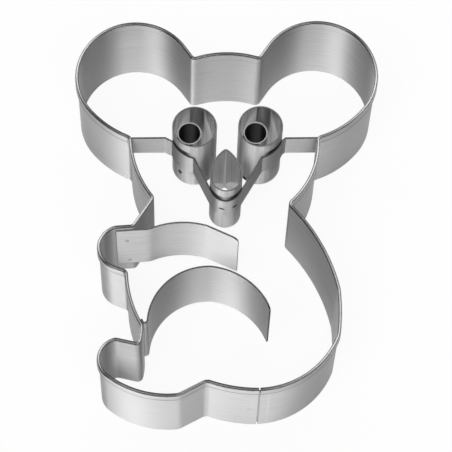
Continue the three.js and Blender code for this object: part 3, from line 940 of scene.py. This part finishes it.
class CUTTER_OT_eye_tubes(bpy.types.Operator):
    """Cuts the eye tubes and the pupil tubes welded inside them"""

    bl_idname = "cutter.eye_tubes"
    bl_label = "Eye and pupil tubes"

    def execute(self, context):
        size, finish = settings(context)
        steel = tube_finish(finish)
        bright = bore_finish(finish)
        sawn = drawn_tube("stainless_tube_sawn", finish.tube, SAWN_ROUGH, SAWN_TOP_SHADE)
        # The pupils' bores take a dark colour as painted shade
        painted_dark_bore = drawn_tube("stainless_pupil_bore", finish.pupil_bore_shade, PUPIL_ROUGH)
        eye_radius, pupil_radius = size.eye_diameter / 2, size.pupil_diameter / 2
        pupil_bearing = 230
        offset = eye_radius - size.tube_wall - size.weld_gap - pupil_radius
        low, high = size.emboss_recess, size.emboss_recess + size.tube_height
        for side, word in ((-1, "left"), (1, "right")):
            eye = Vector((side * size.eye_spacing / 2, 0.0))
            pupil = on_circle(eye, offset, pupil_bearing)
            tubes = (
                ("eye", eye, eye_radius, high, steel, bright),
                ("pupil", pupil, pupil_radius, high - size.pupil_drop, sawn, painted_dark_bore),
            )
            for kind, centre, radius, top, outside, bore in tubes:
                node = f"{word}_{kind}_tube"
                section = tube_section(size.tube_wall, low, top, size.edge_break)
                line = ring(centre, radius)
                mesh = swept_mesh(node + "_drawn", line, section, outside, join=SEAM_JOIN)
                faced_out(mesh)
                line_bore(mesh, centre, bore)
                place_piece(mesh, node + "_drawn", "tube_steel", node)
        return {"FINISHED"}


class CUTTER_OT_nose_tube(bpy.types.Operator):
    """Forms the drop-shaped nose tube, pointed at the back"""

    bl_idname = "cutter.nose_tube"
    bl_label = "Nose tube"

    def execute(self, context):
        size, finish = settings(context)
        radius, tip_bend = size.nose_width / 2, 0.9 * MM
        point = size.nose_length - radius
        side_radius = (radius ** 2 + point ** 2) / (2 * radius)
        side_sweep = math.degrees(math.asin(point / side_radius))
        centre = nose_centre()
        front = centre - Vector((0, radius))
        side = arc_bow(side_radius, side_sweep)
        cheek = arc_bow(radius, 90)
        loop = route([
            corner(front, 0, cheek),
            corner(centre - Vector((radius, 0)), 0, side),
            corner(centre + Vector((0, point)), tip_bend, side),
            corner(centre + Vector((radius, 0)), 0, cheek),
            corner(front),
        ])[:-1]
        back = max(range(len(loop)), key=lambda i: loop[i].y)
        line = closed_line([*loop[back:], *loop[:back]])
        low = size.emboss_recess
        section = tube_section(size.tube_wall, low, low + size.tube_height, size.edge_break)
        mesh = swept_mesh("nose_tube_drawn", line, section, tube_finish(finish), join=SEAM_JOIN)
        faced_out(mesh)
        line_bore(mesh, centre, bore_finish(finish))
        place_piece(mesh, "nose_tube_drawn", "tube_steel", "nose_tube")
        return {"FINISHED"}


def marks_tree():
    """Sets a flat oval mark on every point, turned to the way that the steel faces there."""
    tree, given = start_tree("Marks on the steel", Places="Geometry", Depth="Float", Steel="Material")
    facing, spread = [
        add_node(tree, "GeometryNodeInputNamedAttribute", {"Name": name}, data_type="FLOAT_VECTOR")
        for name in ("facing", "spread")
    ]
    outward = add_node(tree, "FunctionNodeAlignRotationToVector", {"Vector": facing}, axis="Z")
    upright = add_node(tree, "FunctionNodeAlignRotationToVector", {
        "Rotation": outward, "Vector": (0.0, 0.0, 1.0),
    }, axis="Y", pivot_axis="Z")
    wide = add_node(tree, "ShaderNodeSeparateXYZ", {0: spread})
    scale = add_node(tree, "ShaderNodeCombineXYZ", {
        "X": wide.outputs["X"], "Y": wide.outputs["Y"], "Z": given.outputs["Depth"],
    })
    ball = add_node(tree, "GeometryNodeMeshUVSphere", {"Segments": 20, "Rings": 10, "Radius": 1.0})
    marks = add_node(tree, "GeometryNodeInstanceOnPoints", {
        "Points": given.outputs["Places"], "Instance": ball, "Rotation": upright, "Scale": scale,
    })
    return end_tree(tree, marks, given.outputs["Steel"])


class Mark:
    """Place of a weld mark on an upright face, with its width and height."""

    def __init__(self, at, facing, height, wide, tall):
        self.place = (*(at + EYE_MID), height * MM)
        self.facing = (*facing.normalized(), 0.0)
        self.spread = (wide * MM / 2, tall * MM / 2, 0.0)


def mark_on_tube(centre, radius, degrees, *sizes):
    """A mark on the outside of a tube."""
    at = on_circle(centre, radius, degrees)
    return Mark(at, at - centre, *sizes)


def mark_on_strip(size, line, near, *sizes):
    """A mark on the right-hand face of a strip, where its line passes nearest to a point."""
    i = min(range(1, len(line) - 1), key=lambda k: (line[k] - near).length)
    facing = -left((line[i + 1] - line[i - 1]).normalized())
    return Mark(line[i] + facing * size.sheet / 2, facing, *sizes)


def mark_on_wall(run, distance, depth, *sizes):
    """A mark on a sheet that is this deep behind a wall's inner face, or on the wall's outer face."""
    inward = -left(run.heading(distance))
    return Mark(run.inside(distance, depth), inward if depth > 0 else -inward, *sizes)


class CUTTER_OT_weld_marks(bpy.types.Operator):
    """Leaves the pits and the heat tint of the spot welds"""

    bl_idname = "cutter.weld_marks"
    bl_label = "Weld marks"

    def execute(self, context):
        size, finish = settings(context)
        eye = Vector((size.eye_spacing / 2, 0.0))
        eye_radius = size.eye_diameter / 2
        carrier = face_line(size)
        pits = [
            mark_on_tube(-eye, eye_radius, 229.3, 6.4, 0.9, 1.5),
            mark_on_tube(eye, eye_radius, 230, 2.9, 0.9, 1.3),
            mark_on_strip(size, carrier, plan(-1.28, -14.79), 14.1, 1.3, 0.8),
            mark_on_strip(size, carrier, plan(1.27, -14.49), 14.1, 1.2, 0.8),
        ]
        paw = wall_from(size, "paw_top")
        behind = size.weld_gap + size.sheet
        front = wall_from(size, "seam")
        tints = [
            mark_on_wall(paw, 2.0 * MM, behind, 16.3, 0.8, 1.2),
            mark_on_wall(paw, 2.4 * MM, behind, 6.2, 0.8, 1.2),
            mark_on_strip(size, carrier, plan(-9.88, -3.82), 15.8, 0.6, 1.0),
            mark_on_strip(size, carrier, plan(-9.78, -3.91), 11.9, 0.6, 0.9),
            mark_on_wall(front, 1.7 * MM, -size.sheet, 17.0, 1.4, 0.4),
            mark_on_wall(front, 1.6 * MM, -size.sheet, 9.5, 1.4, 0.4),
        ]
        groups = (
            ("weld_pits", pits, burnt_steel("steel_weld_pit", finish.weld, PIT_GRAIN)),
            ("weld_tints", tints, burnt_steel("steel_heat_tint", finish.heat, TINT_GRAIN)),
        )
        tree = marks_tree()
        for name, marks, steel in groups:
            mesh = chain(name, [mark.place for mark in marks])
            for key in ("facing", "spread"):
                values = mesh.attributes.new(key, "FLOAT_VECTOR", "POINT")
                for item, mark in zip(values.data, marks):
                    item.vector = getattr(mark, key)
            obj = bpy.data.objects.new(name, mesh)
            context.scene.collection.objects.link(obj)
            modifier = obj.modifiers.new("Marks", "NODES")
            modifier.node_group = tree
            set_inputs(modifier, Depth=MARK_DEPTH, Steel=steel)
            made = plain_mesh(obj, name)
            faced_out(made)
            place_piece(made, name, "strip_steel")
        return {"FINISHED"}


class CUTTER_OT_stage(bpy.types.Operator):
    """Sets the white sweep, the light tent and the camera"""

    bl_idname = "cutter.stage"
    bl_label = "Stage"

    def execute(self, context):
        scene = context.scene
        scene.view_settings.view_transform = "Standard"
        self.lay_floor(scene)
        self.hang_tent(scene)
        self.set_camera(scene)
        return {"FINISHED"}

    def lay_floor(self, scene):
        """Lays white paper that keeps a faint shadow."""
        floor_mesh = bpy.data.meshes.new("white_sweep")
        ends = [(x * FLOOR_REACH, y * FLOOR_REACH, 0) for x, y in ((-1, -1), (1, -1), (1, 1), (-1, 1))]
        floor_mesh.from_pydata(ends, [], [(0, 1, 2, 3)])
        floor = bpy.data.objects.new("white_sweep", floor_mesh)
        scene.collection.objects.link(floor)
        paper = new_material("white_paper_matte")
        tree = paper.node_tree
        path = add_node(tree, "ShaderNodeLightPath")
        seen = add_node(tree, "ShaderNodeMath", {
            0: path.outputs["Is Camera Ray"], 1: path.outputs["Is Glossy Ray"],
        }, operation="MAXIMUM")
        shown = add_node(tree, "ShaderNodeMath", {
            0: seen, 1: path.outputs["Is Transmission Ray"],
        }, operation="MAXIMUM")
        # The lens sees nearly plain white, the steel mirrors more of the paper's own light and shade
        mirrored = add_node(tree, "ShaderNodeMath", {0: shown, 1: FLOOR_WHITE}, operation="MULTIPLY")
        share = add_node(tree, "ShaderNodeMath", {
            0: path.outputs["Is Camera Ray"], 1: LENS_WHITE, 2: mirrored,
        }, operation="MULTIPLY_ADD")
        white = linear(scene.cutter_finish.floor)
        matte = add_node(tree, "ShaderNodeBsdfDiffuse", {"Color": white})
        glow = add_node(tree, "ShaderNodeEmission", {"Color": white, "Strength": 1.0})
        mixed = add_node(tree, "ShaderNodeMixShader", {0: share, 1: matte, 2: glow})
        add_node(tree, "ShaderNodeOutputMaterial", {"Surface": mixed})
        floor_mesh.materials.append(paper)

    def hang_tent(self, scene):
        """Hangs the tiers of soft light round the cutter."""
        world = bpy.data.worlds.new("studio_air")
        scene.world = world
        world.use_nodes = True
        world.node_tree.nodes.clear()
        tree = world.node_tree
        way = add_node(tree, "ShaderNodeTexCoord")
        axis = add_node(tree, "ShaderNodeSeparateXYZ", {0: way.outputs["Generated"]})
        forward = add_node(tree, "ShaderNodeMath", {0: axis.outputs["Y"], 1: -1.0}, operation="MULTIPLY")
        bearing = add_node(tree, "ShaderNodeMath", {
            0: axis.outputs["X"], 1: forward,
        }, operation="ARCTAN2")
        turn = add_node(tree, "ShaderNodeMapRange", span(bearing, (-math.pi, math.pi), (0.0, 1.0)))
        tiers = []
        for lights, heights in TENT_TIERS:
            tent = add_node(tree, "ShaderNodeValToRGB", {0: turn})
            stops = tent.color_ramp.elements
            while len(stops) < len(lights):
                stops.new(0.5)
            for stop, (degrees, strength) in zip(stops, lights):
                stop.position = degrees / 360 + 0.5
                stop.color = (strength / TENT_PEAK,) * 3 + (1.0,)
            fade_in = span(axis.outputs["Z"], heights[:2], (0.0, TENT_PEAK))
            fade_out = span(axis.outputs["Z"], heights[2:], (1.0, 0.0))
            low = add_node(tree, "ShaderNodeMapRange", fade_in, interpolation_type="SMOOTHSTEP")
            top = add_node(tree, "ShaderNodeMapRange", fade_out, interpolation_type="SMOOTHSTEP")
            level = add_node(tree, "ShaderNodeMath", {0: low, 1: top}, operation="MULTIPLY")
            tiers.append(add_node(tree, "ShaderNodeVectorMath", {
                0: tent, "Scale": level,
            }, operation="SCALE"))
        light = tiers[0]
        for tier in tiers[1:]:
            light = add_node(tree, "ShaderNodeVectorMath", {0: light, 1: tier}, operation="ADD")
        sky = add_node(tree, "ShaderNodeBackground", {"Color": light, "Strength": 1.0})
        add_node(tree, "ShaderNodeOutputWorld", {"Surface": sky})

    def set_camera(self, scene):
        """Sets the camera where the photo was taken from."""
        lens = bpy.data.cameras.new("studio_camera")
        lens.sensor_width = SENSOR_WIDTH
        lens.lens = SENSOR_WIDTH * CAMERA_FOCAL
        lens.clip_start = CLIP_START
        camera = bpy.data.objects.new("studio_camera", lens)
        camera.location = CAMERA_PLACE
        camera.rotation_euler = Euler([math.radians(a) for a in CAMERA_TURN])
        scene.collection.objects.link(camera)
        scene.camera = camera


STEPS = (
    CUTTER_OT_outline_band,
    CUTTER_OT_face_strip,
    CUTTER_OT_limb_strips,
    CUTTER_OT_eye_tubes,
    CUTTER_OT_nose_tube,
    CUTTER_OT_weld_marks,
    CUTTER_OT_stage,
)


class CUTTER_PT_build(bpy.types.Panel):
    """Lists the build steps and the sizes"""

    bl_label = "Koala cutter"
    bl_space_type = "VIEW_3D"
    bl_region_type = "UI"
    bl_category = "Cutter"

    def draw(self, context):
        for step in STEPS:
            self.layout.operator(step.bl_idname)
        for group in settings(context):
            for name in group.__annotations__:
                self.layout.prop(group, name)


CLASSES = (CutterSizes, CutterFinish, *STEPS, CUTTER_PT_build)


def register():
    for kind in CLASSES:
        bpy.utils.register_class(kind)
    bpy.types.Scene.cutter_sizes = PointerProperty(type=CutterSizes)
    bpy.types.Scene.cutter_finish = PointerProperty(type=CutterFinish)


def unregister():
    del bpy.types.Scene.cutter_finish
    del bpy.types.Scene.cutter_sizes
    for kind in reversed(CLASSES):
        bpy.utils.unregister_class(kind)


def main():
    register()
    bpy.ops.cutter.outline_band()
    bpy.ops.cutter.face_strip()
    bpy.ops.cutter.limb_strips()
    bpy.ops.cutter.eye_tubes()
    bpy.ops.cutter.nose_tube()
    bpy.ops.cutter.weld_marks()
    bpy.ops.cutter.stage()


if __name__ == "__main__":
    main()
